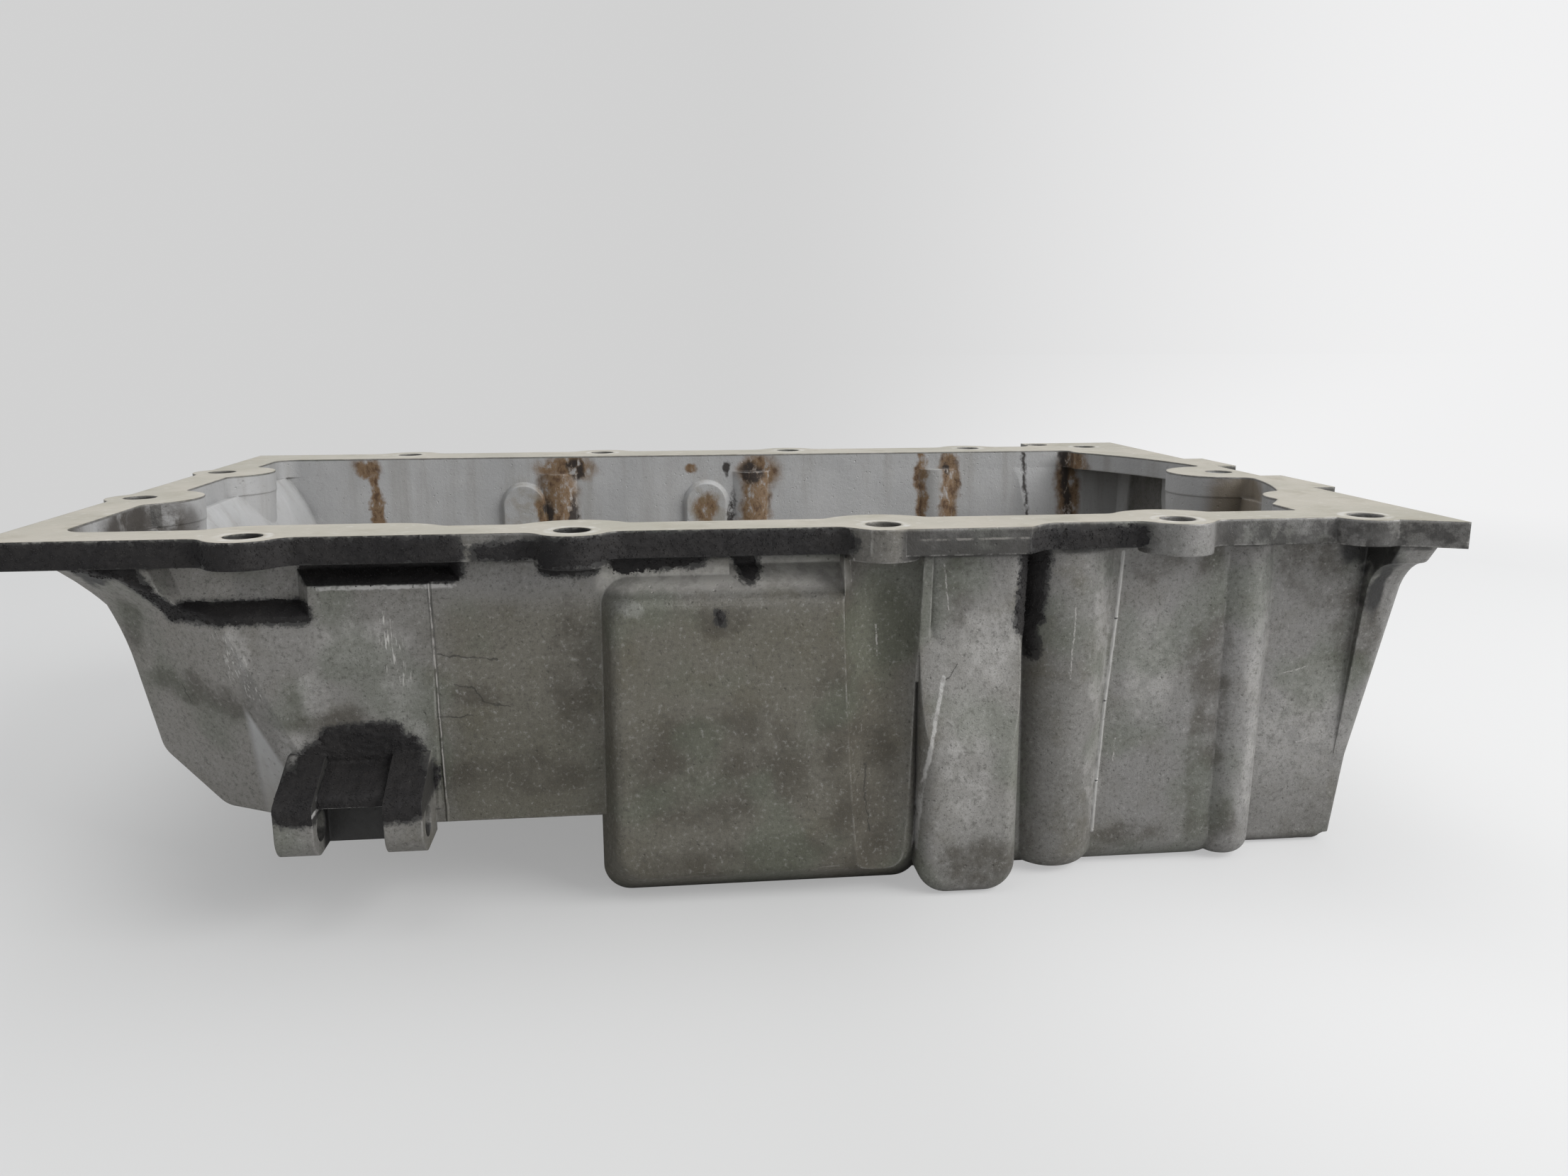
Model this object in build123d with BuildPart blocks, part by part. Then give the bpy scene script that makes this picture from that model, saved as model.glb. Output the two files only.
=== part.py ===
from build123d import *

import os
from math import cos, radians, sin, tan

# Cast aluminium oil pan of a small inline-four engine, with its drain plug and sealing washer.
# Millimetres, +Z up. The origin is the centre of the corner bolt rectangle on the gasket face, z = 0.
# +X runs along the crankshaft towards the gearbox. The long wall on the -Y side is the near wall.

# --- Bolt pattern of the gasket flange -------------------------------------------------------------
bore_pitch = 84.0  # bolts of both rows stand one cylinder pitch apart
row_gap = 227.5  # from the near bolt row to the far one
end_bolt_x = 182.0  # fifth bolt of each row, at the gearbox end
front_bolt_x = -184.7  # two bolts in the front end
front_bolt_y = (-27.6, 49.7)
rear_bolt = (193.8, 1.6)  # single bolt in the gearbox end
corner_bolt = (163.2, 126.9)  # extra bolt in the far corner tab
bolt_hole_d = 10.0

# --- Flange ----------------------------------------------------------------------------------------
flange_t = 7.5
flange_front_x = -191.0
flange_rear_x = 203.0
flange_near_y = -116.5
flange_far_y = 118.5
near_ear_r = 10.3  # round ear of the outline at each near bolt, and at the front bolts
far_ear_r = 13.0  # the far bolts have wider ears
bolt_boss_drop = 1.6  # boss below the flange's underside
lobe_r = 19.0  # round lobe that each bolt pushes into the opening
outline_blend_r = 6.0
corner_r = 3.0
near_step_x = (37.0, 81.0)  # wider stretch of the near edge
near_step = 6.5
gearbox_ear = 13.5  # the near gearbox corner reaches this far past the near edge
gearbox_ear_w = 31.0
far_tab_x = 158.0  # the far gearbox corner widens from here
far_tab = 16.5

# --- Opening of the flange -------------------------------------------------------------------------
opening_front_x = -177.0
opening_rear_x = 168.0
opening_near_y = -101.5
opening_far_y = 96.5
opening_corner_r = 8.0
opening_blend_r = 4.0
rear_bulge_r = 142.0  # the gearbox end bows out around the crankshaft flange
rear_bulge_x = 56.0
seal_lobe = (191.0, -72.0)  # blind lobe beside the crankshaft seal
seal_lobe_r = 16.0
front_lobe_end_x = -92.0  # the first near lobe is drawn out to here

# --- Tub -------------------------------------------------------------------------------------------
wall = 5.0
shallow_depth = 83.0
deep_depth = 107.5
near_wall_y = -109.5
far_wall_y = 101.5
casting_draft = 1.2
bottom_r = 8.0
inner_r = 3.0  # smallest radius inside
tub_corner_r = 16.0
front_top_x = -181.0
front_waist = (-166.5, -40.0)  # the front wall flares from here up to the flange
front_flare_mid = (-171.5, -21.5)
front_knuckle = (-163.7, -67.0)
front_toe_x = -146.0
knuckle_r = 6.5
parting_x = -80.0
parting_step = 0.6  # the mould halves meet with this small offset
facet_foot_x = -136.0  # the near front corner is cut by a sloping facet that starts here
facet_foot_out = 0.5  # and this far outside the near wall
facet_turn = 29.0  # degrees between the facet and the near wall, seen from above
facet_lean = 14.0  # degrees by which the facet leans in under itself
facet_top_z = -22.0
facet_flare = 16.0  # above that height it flares out to the flange by this much
facet_hollow = (5.6, -16.2)  # the flare passes through here: out from the facet, and height

# --- Deep sump -------------------------------------------------------------------------------------
sump_front_x = -36.0
sump_main_end_x = 158.0
sump_near_in = 2.5  # its near wall stands this far behind the shallow part's
sump_rear_x = 202.5
sump_rear_near_in = 2.5
sump_rear_draft = 6.5
sump_rear_corner_r = 10.0
sump_rear_foot_r = 4.0

# --- Forms that stand out of the near wall -----------------------------------------------------------
box_x = (-37.0, 56.0)  # the broad box on the near wall, at its foot
box_side_slope = 4.5
box_out = 6.5
box_shoulder_z = (-9.0, -20.5)
box_lift = 8.0  # its front ends this far above the belly
box_corner_r = 8.0
box_edge_r = 3.5
riser_x = (31.0, 56.0)  # beside the channel the box runs up to the flange
slab_x = (53.0, 84.0)
slab_out = 6.5
slab_edge_r = 6.0
slab_foot_r = 5.5
thick_x = (52.5, 81.5)
thick_out = 11.0
thick_rise_z = (-38.0, -64.0)  # the pad grows out of the slab between these heights
thick_edge_r = 4.5
thick_corner_r = 9.0
big_column_x = 97.5
big_column_r = 16.5
big_column_out = 7.1  # it stands this far out of the sump's near wall
big_column_draft = 2.0
small_column_x = 152.5
small_column_r = 10.5
small_column_out = 2.0
small_column_draft = 1.2
column_tip_r = 6.0
column_lift = 1.0  # the tips of the columns stop this far above the belly
channel_r = 12.0  # round channel in the box below its bolt
channel_out = 5.5  # its axis stands this far outside the bolt at the flange
channel_lean = 7.5  # and this much further out at the foot

# --- Relief under the first near bolt ----------------------------------------------------------------
relief_x = (-152.0, -112.0, -72.0)
relief_z = (-23.0, -14.5)
relief_depth = 5.0
relief_slope = 35.0
relief_skew = 4.0

# --- Clevis bracket on the near wall -----------------------------------------------------------------
clevis_x = -102.0
clevis_w = 38.0
clevis_gap = 18.0
clevis_bore_out = 9.5  # its bore lies this far outside the near wall
clevis_bore_z = -78.0
clevis_bore_d = 8.5
clevis_bottom_z = -85.5
clevis_root_z = -61.5
clevis_nose_out = 17.5  # upper front corner of the ears
clevis_nose_z = -70.0
clevis_web_out = 2.5
clevis_hood_z = -72.0
clevis_toe_r = 7.0
clevis_nose_r = 3.0
hood_root_z = -64.0  # the hood between the ears is set back behind their fronts
hood_nose_out = 13.0
hood_nose_z = -69.0
hood_nose_r = 2.0

# --- Ribs inside the far wall ------------------------------------------------------------------------
rib_offset = 18.7  # each rib stands this far ahead of a far bolt
rib_r = 12.0
rib_out = 3.0
pad_x = (-75.5, 3.5)
pad_w = 20.0
pad_top_z = -11.0
pad_length = 58.0
pad_out = 3.0
pad_taper = 25.0
post_draft = 3.5

# --- Gearbox end -------------------------------------------------------------------------------------
rear_boss_y = (-31.0, 37.0)
rear_boss_r = (18.0, 15.0)
rear_boss_out = 8.0
rear_boss_tap_d = 8.5
rear_boss_tap_depth = 13.0
rear_boss_length = 17.0
gusset_t = 14.0
gusset_tip = (-121.5, -8.5)  # upper corners of the web's front edge, as (y, z)
gusset_lip = (-118.0, -13.5)
gusset_waist_out = 1.0  # below the lip it draws in to the sump's near wall
gusset_waist_z = -23.0
gusset_foot_in = 9.8
gusset_foot_z = -86.0
gusset_edge_r = 4.0
gusset_rise = (-0.25, 1.0)  # direction of the hollow where it leaves the waist

# --- Drain -------------------------------------------------------------------------------------------
drain_x = 100.0
drain_rise = 18.5  # the plug's axis lies this far above the belly
drain_boss_r = 14.5
drain_boss_out = 6.0
drain_boss_draft = 4.0
drain_thread_d = 14.0
thread_clearance = 0.2
washer_d = 21.0
washer_t = 1.5
plug_collar_d = 22.0
plug_collar_t = 2.5
plug_hex = 17.0
plug_hex_t = 9.0
plug_shank = 14.0
plug_chamfer = 1.2

# --- Places worked out from the sizes above ------------------------------------------------------------
row_y = row_gap / 2
row_x = [bore_pitch * step for step in (-1.5, -0.5, 0.5, 1.5)] + [end_bolt_x]
near_bolts = [(x, -row_y) for x in row_x]
far_bolts = [(x, row_y) for x in row_x]
front_bolts = [(front_bolt_x, y) for y in front_bolt_y]
row_bolts = near_bolts + far_bolts
all_bolts = row_bolts + front_bolts + [rear_bolt, corner_bolt]
lobe_bolts = near_bolts + front_bolts + [rear_bolt]
facet_foot = (facet_foot_x, near_wall_y - facet_foot_out)
sump_near_y = near_wall_y + sump_near_in
sump_rear_near_y = near_wall_y + sump_rear_near_in
box_bottom_z = box_lift - deep_depth
big_column = (big_column_x, sump_near_y - big_column_out + big_column_r)
small_column = (small_column_x, sump_near_y - small_column_out + small_column_r)
clevis_bore_y = near_wall_y - clevis_bore_out
clevis_nose = (near_wall_y - clevis_nose_out, clevis_nose_z)
clevis_web_y = near_wall_y - clevis_web_out
hood_nose = (near_wall_y - hood_nose_out, hood_nose_z)
gusset_waist = (sump_rear_near_y - gusset_waist_out, gusset_waist_z)
gusset_foot = (sump_rear_near_y + gusset_foot_in, gusset_foot_z)
drain_z = drain_rise - deep_depth
drain_face_y = far_wall_y + drain_boss_out
collar_face_y = drain_face_y + washer_t


def rectangle_between(x0, x1, y0, y1, mode=Mode.ADD):
    """Rectangle by its two corners, in the sketch that is open."""
    with Locations(((x0 + x1) / 2, (y0 + y1) / 2)):
        Rectangle(abs(x1 - x0), abs(y1 - y0), mode=mode)


def is_lobe_corner(vertex):
    """Whether a corner of the opening lies where a bolt's lobe leaves a straight edge."""
    on_near_edge = abs(vertex.Y - opening_near_y) < 0.01 and vertex.X < row_x[3] + lobe_r
    on_front_edge = abs(vertex.X - opening_front_x) < 0.01
    clear_of_corner = vertex.X > opening_front_x + 2 * opening_corner_r
    beside_front_bolt = abs(vertex.Y) < opening_far_y - 2 * opening_corner_r
    return on_near_edge and clear_of_corner or on_front_edge and beside_front_bolt


def is_rear_corner(vertex):
    """Whether a corner of the opening belongs to its bowed gearbox end."""
    return vertex.X > opening_rear_x - 0.01 and vertex.Y > opening_near_y + opening_corner_r


def opening_outline():
    """Opening of the flange: it bows out at the gearbox end, and every bolt pushes a lobe into it."""
    with BuildSketch() as opening:
        with Locations((rear_bulge_x, 0)):
            Circle(rear_bulge_r)
        rectangle_between(0, flange_rear_x, opening_near_y, opening_far_y, mode=Mode.INTERSECT)
        rectangle_between(opening_front_x, opening_rear_x, opening_near_y, opening_far_y)
        fillet(opening.vertices().group_by(Axis.X)[0], opening_corner_r)
        with Locations(*lobe_bolts):
            Circle(lobe_r, mode=Mode.SUBTRACT)
        rectangle_between(row_x[0], front_lobe_end_x, -row_y, lobe_r - row_y, mode=Mode.SUBTRACT)
        with Locations((front_lobe_end_x, -row_y)):
            Circle(lobe_r, mode=Mode.SUBTRACT)
        with Locations(seal_lobe):
            Circle(seal_lobe_r, mode=Mode.SUBTRACT)
        fillet(opening.vertices().filter_by(is_lobe_corner), opening_blend_r)
        fillet(opening.vertices().filter_by(is_rear_corner), opening_blend_r)
    return opening.sketch


def is_edge_corner(vertex):
    """Whether a corner of the flange's outline lies where an ear leaves a straight edge."""
    on_row_edge = min(abs(vertex.Y - flange_near_y), abs(vertex.Y - flange_far_y)) < 0.01
    on_front_edge = abs(vertex.X - flange_front_x) < 0.01
    at_corner = abs(vertex.X - flange_front_x) < 0.01 and on_row_edge
    return (on_row_edge or on_front_edge) and not at_corner and vertex.X < end_bolt_x - near_ear_r


def flange_outline():
    """Outer edge of the flange, with an ear at each bolt and the wider gearbox corners."""
    with BuildSketch() as outline:
        rectangle_between(flange_front_x, flange_rear_x, flange_near_y, flange_far_y)
        Polygon(
            (near_step_x[0] - near_step, flange_near_y),
            (near_step_x[0], flange_near_y - near_step),
            (near_step_x[1], flange_near_y - near_step),
            (near_step_x[1] + near_step, flange_near_y),
            align=None,
        )
        rectangle_between(far_tab_x, flange_rear_x, flange_far_y - far_tab, flange_far_y + far_tab)
        Polygon(
            (flange_rear_x - gearbox_ear_w, flange_near_y),
            (flange_rear_x, flange_near_y - gearbox_ear),
            (flange_rear_x, flange_near_y),
            align=None,
        )
        with Locations(*near_bolts, *front_bolts):
            Circle(near_ear_r)
        with Locations(*far_bolts):
            Circle(far_ear_r)
        for boss_y, boss_r in zip(rear_boss_y, rear_boss_r):
            rectangle_between(
                rear_bolt[0], flange_rear_x + rear_boss_out, boss_y - boss_r, boss_y + boss_r
            )
        fillet(outline.vertices().filter_by(is_edge_corner), outline_blend_r)
        fillet(outline.vertices().group_by(Axis.X)[0], corner_r)
    return outline.sketch


def tapered_block(x_range, y_range, draft, corner, edge, inset, top):
    """Drafted block from z = top to the belly, with round corners and foot; inset draws it in."""
    with BuildPart() as block:
        with BuildSketch(Plane.XY.offset(top)) as plan:
            rectangle_between(
                x_range[0] + inset, x_range[1] - inset, y_range[0] + inset, y_range[1] - inset
            )
            fillet(plan.vertices(), max(corner - inset, inner_r))
        extrude(amount=inset - deep_depth - top, taper=draft)
        foot = block.faces().sort_by(Axis.Z)[0]
        fillet(foot.edges(), max(edge - inset, inner_r))
    return block.part


def corner_facet(inset):
    """Cutter for the sloping facet of the near front corner, which flares out to the flange."""
    section = Plane(
        origin=(*facet_foot, 0),
        x_dir=(-sin(radians(facet_turn)), -cos(radians(facet_turn)), 0),
        z_dir=(-cos(radians(facet_turn)), sin(radians(facet_turn)), 0),
    )
    reach = shallow_depth
    drop = facet_top_z - 2 * reach
    with BuildPart() as cutter:
        with BuildSketch(section):
            with BuildLine():
                Polyline(
                    (facet_flare - inset, -flange_t),
                    (reach, -flange_t),
                    (reach, drop),
                    (-2 * reach * tan(radians(facet_lean)) - inset, drop),
                    (-inset, facet_top_z),
                )
                ThreePointArc(
                    (-inset, facet_top_z),
                    (facet_hollow[0] - inset, facet_hollow[1]),
                    (facet_flare - inset, -flange_t),
                )
            make_face()
        extrude(amount=2 * reach, both=True)
    return cutter.part


def is_knuckle(vertex):
    """Whether a corner of the tub's side view lies on the front wall below its waist."""
    return vertex.Y < front_waist[1] - 1 and vertex.X < front_toe_x + 1


def shallow_block(inset, top):
    """Front part of the tub: flared front wall, knuckle and sloping toe, cut by the corner facet."""
    with BuildPart() as block:
        with BuildSketch(Plane.XZ) as side:
            with BuildLine():
                wall_line = Polyline(
                    front_waist, front_knuckle, (front_toe_x, -shallow_depth), (0, -shallow_depth)
                )
                Polyline(
                    wall_line @ 1,
                    (0, top + inset),
                    (front_top_x, top + inset),
                    (front_top_x, -flange_t),
                )
                ThreePointArc((front_top_x, -flange_t), front_flare_mid, front_waist)
            make_face()
            fillet(side.vertices().filter_by(is_knuckle), knuckle_r)
            if inset > 0:
                offset(amount=-inset, kind=Kind.INTERSECTION, mode=Mode.REPLACE)
        extrude(amount=row_gap, both=True)
        with BuildSketch(Plane.XY.offset(top)) as plan:
            rectangle_between(
                front_top_x + inset - wall, bore_pitch, near_wall_y + inset, far_wall_y - inset
            )
            fillet(plan.vertices().group_by(Axis.X)[0], tub_corner_r - inset)
        extrude(amount=-(shallow_depth + wall), taper=casting_draft, mode=Mode.INTERSECT)
        add(corner_facet(inset), mode=Mode.SUBTRACT)
    return block.part


def near_box(inset, top):
    """Broad box on the near wall: a sloping shoulder, a sloping foot and slanted ends."""
    back_y = near_wall_y + inset + wall
    depth = box_out + wall
    with BuildPart() as box:
        with BuildSketch(Plane.XZ.offset(-back_y)) as back:
            rectangle_between(
                box_x[0] + inset, box_x[1] - inset, box_shoulder_z[0] - inset, inset - deep_depth
            )
            fillet(back.vertices(), box_corner_r)
        with BuildSketch(Plane.XZ.offset(depth - back_y)) as front:
            rectangle_between(
                box_x[0] + box_side_slope + inset,
                box_x[1] - box_side_slope - inset,
                box_shoulder_z[1] - inset,
                box_bottom_z + inset,
            )
            fillet(front.vertices(), box_corner_r)
        loft()
        if not inset:
            fillet(box.faces().sort_by(Axis.Y)[0].edges(), box_edge_r)
        with BuildSketch(Plane.XY.offset(top)):
            rectangle_between(
                riser_x[0] + inset,
                riser_x[1] - inset,
                near_wall_y - box_out + inset,
                near_wall_y + tub_corner_r,
            )
        extrude(amount=2 * box_shoulder_z[1], taper=casting_draft)
    return box.part


def is_outside(edge):
    """Whether an edge of the slab lies outside the tub's near wall, or close to it."""
    return edge.center().Y < near_wall_y + bottom_r


def near_slab(inset, top):
    """Stretch of the near wall beside the box that stands out as far as the wide part of the flange."""
    with BuildPart() as slab:
        with BuildSketch(Plane.XY.offset(top)) as plan:
            rectangle_between(
                slab_x[0] + inset,
                slab_x[1] - inset,
                near_wall_y - slab_out + inset,
                near_wall_y + tub_corner_r,
            )
            if not inset:
                fillet(plan.vertices().group_by(Axis.Y)[0], slab_edge_r)
        extrude(amount=inset - deep_depth - top, taper=casting_draft)
        if not inset:
            foot = slab.faces().sort_by(Axis.Z)[0].edges()
            fillet(foot.filter_by(is_outside), slab_foot_r)
    return slab.part


def thick_pad(inset):
    """Thick pad low on the slab, which grows out of it slowly and has a round foot and edges."""
    rise = thick_rise_z[0] - thick_rise_z[1]
    step = thick_out - slab_out
    with BuildPart() as pad:
        with BuildSketch(Plane.XZ.offset(-near_wall_y)) as front:
            rectangle_between(
                thick_x[0] + inset, thick_x[1] - inset, thick_rise_z[0] + rise / 2, inset - deep_depth
            )
            fillet(front.vertices(), max(thick_corner_r - inset, inner_r))
        extrude(amount=thick_out - inset)
        if not inset:
            fillet(pad.faces().sort_by(Axis.Y)[0].edges(), thick_edge_r)
        with BuildSketch(Plane.YZ.offset(thick_x[0])):
            Polygon(
                (near_wall_y - slab_out + inset + step, thick_rise_z[0] + rise),
                (near_wall_y - thick_out + inset - step, thick_rise_z[1] - rise),
                (near_wall_y - 3 * thick_out, thick_rise_z[1] - rise),
                (near_wall_y - 3 * thick_out, thick_rise_z[0] + rise),
                align=None,
            )
        extrude(amount=thick_x[1] - thick_x[0], mode=Mode.SUBTRACT)
    return pad.part


def column(place, radius, draft, inset, top):
    """Drafted half-round column on the near wall, with a round tip on the outside."""
    with BuildPart() as post:
        with BuildSketch(Plane.XY.offset(top)):
            with Locations(place):
                Circle(radius - inset)
        extrude(amount=inset + column_lift - deep_depth - top, taper=draft)
        if not inset:
            fillet(post.edges().group_by(Axis.Z)[0], min(column_tip_r, radius / 2))
    return post.part


def tub_form(inset, top):
    """Outer form of the tub with inset 0, or its cavity with the wall as inset."""
    main_x = (sump_front_x, sump_main_end_x)
    rear_x = (bore_pitch, sump_rear_x)
    with BuildPart() as form:
        add(shallow_block(inset, top))
        main_y = (sump_near_y, far_wall_y)
        rear_y = (sump_rear_near_y, far_wall_y)
        add(tapered_block(main_x, main_y, casting_draft, tub_corner_r, bottom_r, inset, top))
        rear_round = (sump_rear_corner_r, sump_rear_foot_r)
        add(tapered_block(rear_x, rear_y, sump_rear_draft, *rear_round, inset, top))
        add(near_box(inset, top))
        add(near_slab(inset, top))
        add(thick_pad(inset))
        add(column(big_column, big_column_r, big_column_draft, inset, top))
        add(column(small_column, small_column_r, small_column_draft, inset, top))
    return form.part


def bolt_channel():
    """Leaning round channel down which the head of the second-last near bolt is reached."""
    bolt_x = row_x[2]
    with BuildPart() as channel:
        head = Plane(origin=(bolt_x, -row_y - channel_out, 0), z_dir=(0, -channel_lean, -deep_depth))
        with BuildSketch(head):
            Circle(channel_r)
        extrude(amount=deep_depth)
    return channel.part


def relief_pocket():
    """Shallow pocket under the flange at the first near bolt, stepped and with sloping sides."""
    with BuildPart() as pocket:
        with BuildSketch(Plane.XZ.offset(parting_step - near_wall_y)):
            Polygon(
                (relief_x[0] - relief_skew, 0),
                (relief_x[0] + relief_skew, relief_z[0]),
                (relief_x[1], relief_z[0]),
                (relief_x[1], relief_z[1]),
                (relief_x[2], relief_z[1]),
                (relief_x[2], 0),
                align=None,
            )
        extrude(amount=-(relief_depth + parting_step), taper=relief_slope)
    return pocket.part


def front_skin():
    """Slightly prouder skin on the front half of the near wall, ending at the mould's parting line."""
    with BuildPart() as skin:
        with BuildSketch(Plane.XY.offset(-flange_t / 2)):
            rectangle_between(
                facet_foot[0], parting_x, near_wall_y - parting_step, near_wall_y + tub_corner_r
            )
        extrude(amount=bottom_r - shallow_depth, taper=casting_draft)
        add(corner_facet(0), mode=Mode.SUBTRACT)
    return skin.part


def is_front_edge(edge):
    """Whether an edge of the corner web lies in its front, below the flange."""
    return edge.center().Y < gusset_foot[0] and edge.bounding_box().max.Z < gusset_tip[1] + 0.1


def gearbox_gusset():
    """Corner web under the near gearbox corner of the flange, hollow in front, level with the end wall."""
    end_wall = Plane(
        origin=(sump_rear_x, 0, -flange_t / 2),
        z_dir=(-cos(radians(sump_rear_draft)), 0, sin(radians(sump_rear_draft))),
    )
    back_y = sump_rear_near_y + 3 * wall
    with BuildPart() as gusset:
        with BuildSketch(Plane.YZ.offset(sump_rear_x)):
            with BuildLine():
                Polyline(
                    gusset_tip,
                    (gusset_tip[0], -flange_t / 2),
                    (back_y, -flange_t / 2),
                    (back_y, gusset_foot[1]),
                    gusset_foot,
                    gusset_waist,
                )
                TangentArc(gusset_waist, gusset_lip, tangent=gusset_rise)
                Line(gusset_lip, gusset_tip)
            make_face()
        extrude(amount=-gusset_t)
        split(bisect_by=end_wall, keep=Keep.TOP)
        edge = gusset.faces().sort_by(Axis.X)[-1].edges().filter_by(is_front_edge)
        fillet(edge, gusset_edge_r)
    return gusset.part


def pad_outlines():
    """Outlines of the arched pads on the inside of the far wall, seen from the front."""
    with BuildSketch() as pads:
        for x in pad_x:
            with Locations((x, pad_top_z - pad_w / 2)):
                Circle(pad_w / 2)
            rectangle_between(
                x - pad_w / 2, x + pad_w / 2, pad_top_z - pad_w / 2, pad_top_z - pad_length
            )
    return pads.sketch


def inner_posts(outer_form):
    """Posts under the flange's lobes, backing of the relief and ribs of the far wall."""
    with BuildPart() as posts:
        with BuildSketch(Plane.XY.offset(-flange_t / 2)):
            with Locations(*lobe_bolts, (front_lobe_end_x, -row_y)):
                Circle(lobe_r)
            rectangle_between(row_x[0], front_lobe_end_x, -row_y - lobe_r, lobe_r - row_y)
        extrude(amount=wall - shallow_depth, taper=post_draft)
        with BuildSketch(Plane.XY.offset(-flange_t / 2)):
            rectangle_between(
                relief_x[0] - wall, relief_x[2] + wall, near_wall_y, opening_near_y
            )
        extrude(amount=relief_z[0] - wall)
        with BuildSketch(Plane.XY.offset(-flange_t / 2)):
            rib_y = far_wall_y - wall - rib_out + rib_r
            with Locations(*[(x - rib_offset, rib_y) for x in row_x[1:4]]):
                Circle(rib_r)
        extrude(amount=-shallow_depth)
        with BuildSketch(Plane.XZ.offset(wall - far_wall_y)):
            add(pad_outlines())
        extrude(amount=pad_out, taper=pad_taper)
        with BuildSketch(Plane.XZ.offset(wall - far_wall_y)):
            add(pad_outlines())
        extrude(amount=-wall)
        add(outer_form, mode=Mode.INTERSECT)
    return posts.part


def clevis_slice(width, root_z, nose, nose_r, bottom_z):
    """Slice of the clevis bracket, width wide about its middle: it slopes from the wall to its nose."""
    root_y = near_wall_y + wall / 2
    with BuildPart() as bracket:
        with BuildSketch(Plane.YZ.offset(clevis_x)) as side:
            Polygon(
                (root_y, bottom_z),
                (root_y, root_z),
                (near_wall_y, root_z),
                nose,
                (nose[0], bottom_z),
                align=None,
            )
            fillet(side.vertices().sort_by(Axis.X)[:2].sort_by(Axis.Y)[-1], nose_r)
        extrude(amount=width / 2, both=True)
    return bracket.part


def clevis():
    """Clevis bracket: two ears joined by a web and a sloping hood, with a bolt hole across them."""
    with BuildPart() as bracket:
        add(clevis_slice(clevis_w, clevis_root_z, clevis_nose, clevis_nose_r, clevis_bottom_z))
        toe = bracket.edges().filter_by(Axis.X).sort_by(Axis.Z)[:2].sort_by(Axis.Y)[0]
        fillet(toe, clevis_toe_r)
        with BuildSketch(Plane.YZ.offset(clevis_x)):
            rectangle_between(
                clevis_nose[0] - 1, near_wall_y + wall / 2, clevis_bottom_z - 1, clevis_root_z + 1
            )
        extrude(amount=clevis_gap / 2, both=True, mode=Mode.SUBTRACT)
        add(clevis_slice(clevis_gap, hood_root_z, hood_nose, hood_nose_r, clevis_hood_z))
        with BuildSketch(Plane.XY.offset(clevis_bottom_z)):
            rectangle_between(
                clevis_x - clevis_gap / 2, clevis_x + clevis_gap / 2, clevis_web_y, near_wall_y + wall / 2
            )
        extrude(amount=clevis_hood_z - clevis_bottom_z)
        with BuildSketch(Plane.YZ.offset(clevis_x)):
            with Locations((clevis_bore_y, clevis_bore_z)):
                Circle(clevis_bore_d / 2)
        extrude(amount=clevis_w / 2, both=True, mode=Mode.SUBTRACT)
    return bracket.part


def drain_boss():
    """Round boss on the far wall for the drain plug."""
    with BuildPart() as boss:
        with BuildSketch(Plane.XZ.offset(-drain_face_y)):
            with Locations((drain_x, drain_z)):
                Circle(drain_boss_r)
        extrude(amount=drain_boss_out + 2 * wall, taper=-drain_boss_draft)
    return boss.part


def gearbox_bosses():
    """Bosses at the gearbox end, level with the flange, each with a blind hole for a housing bolt."""
    with BuildPart() as bosses:
        for boss_y, boss_r in zip(rear_boss_y, rear_boss_r):
            with BuildSketch(Plane.YZ.offset(flange_rear_x + rear_boss_out)):
                with Locations((boss_y, -boss_r)):
                    Circle(boss_r)
                rectangle_between(boss_y - boss_r, boss_y + boss_r, -boss_r, -flange_t / 2)
            extrude(amount=-rear_boss_length)
            with BuildSketch(Plane.YZ.offset(flange_rear_x + rear_boss_out)):
                with Locations((boss_y, -boss_r)):
                    Circle(rear_boss_tap_d / 2)
            extrude(amount=-rear_boss_tap_depth, mode=Mode.SUBTRACT)
    return bosses.part


outer = tub_form(0, -flange_t / 2)
cavity = tub_form(wall, -flange_t)
with BuildPart() as tub:
    add(outer)
    add(front_skin())
    add(bolt_channel(), mode=Mode.SUBTRACT)
    add(relief_pocket(), mode=Mode.SUBTRACT)

with BuildPart() as oil_pan:
    add(tub.part)
    add(gearbox_gusset())
    add(cavity, mode=Mode.SUBTRACT)
    add(inner_posts(tub.part))
    add(clevis())
    add(drain_boss())
    with BuildSketch(Plane.XY.offset(-flange_t)):
        add(flange_outline())
    extrude(amount=flange_t)
    with BuildSketch(Plane.XY.offset(-flange_t - bolt_boss_drop)):
        with Locations(*near_bolts[1:4], *far_bolts, *front_bolts):
            Circle(near_ear_r)
    extrude(amount=bolt_boss_drop)
    add(gearbox_bosses())
    with BuildSketch(Plane.XY.offset(-flange_t)):
        add(opening_outline())
    extrude(amount=flange_t, mode=Mode.SUBTRACT)
    with BuildSketch(Plane.XY):
        with Locations(*all_bolts):
            Circle(bolt_hole_d / 2)
    extrude(amount=-(flange_t + bolt_boss_drop), mode=Mode.SUBTRACT)
    with BuildSketch(Plane.XZ.offset(-drain_face_y)):
        with Locations((drain_x, drain_z)):
            Circle(drain_thread_d / 2)
    extrude(amount=drain_boss_out + 3 * wall, mode=Mode.SUBTRACT)
oil_pan.part.label = "oil_pan"

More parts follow.
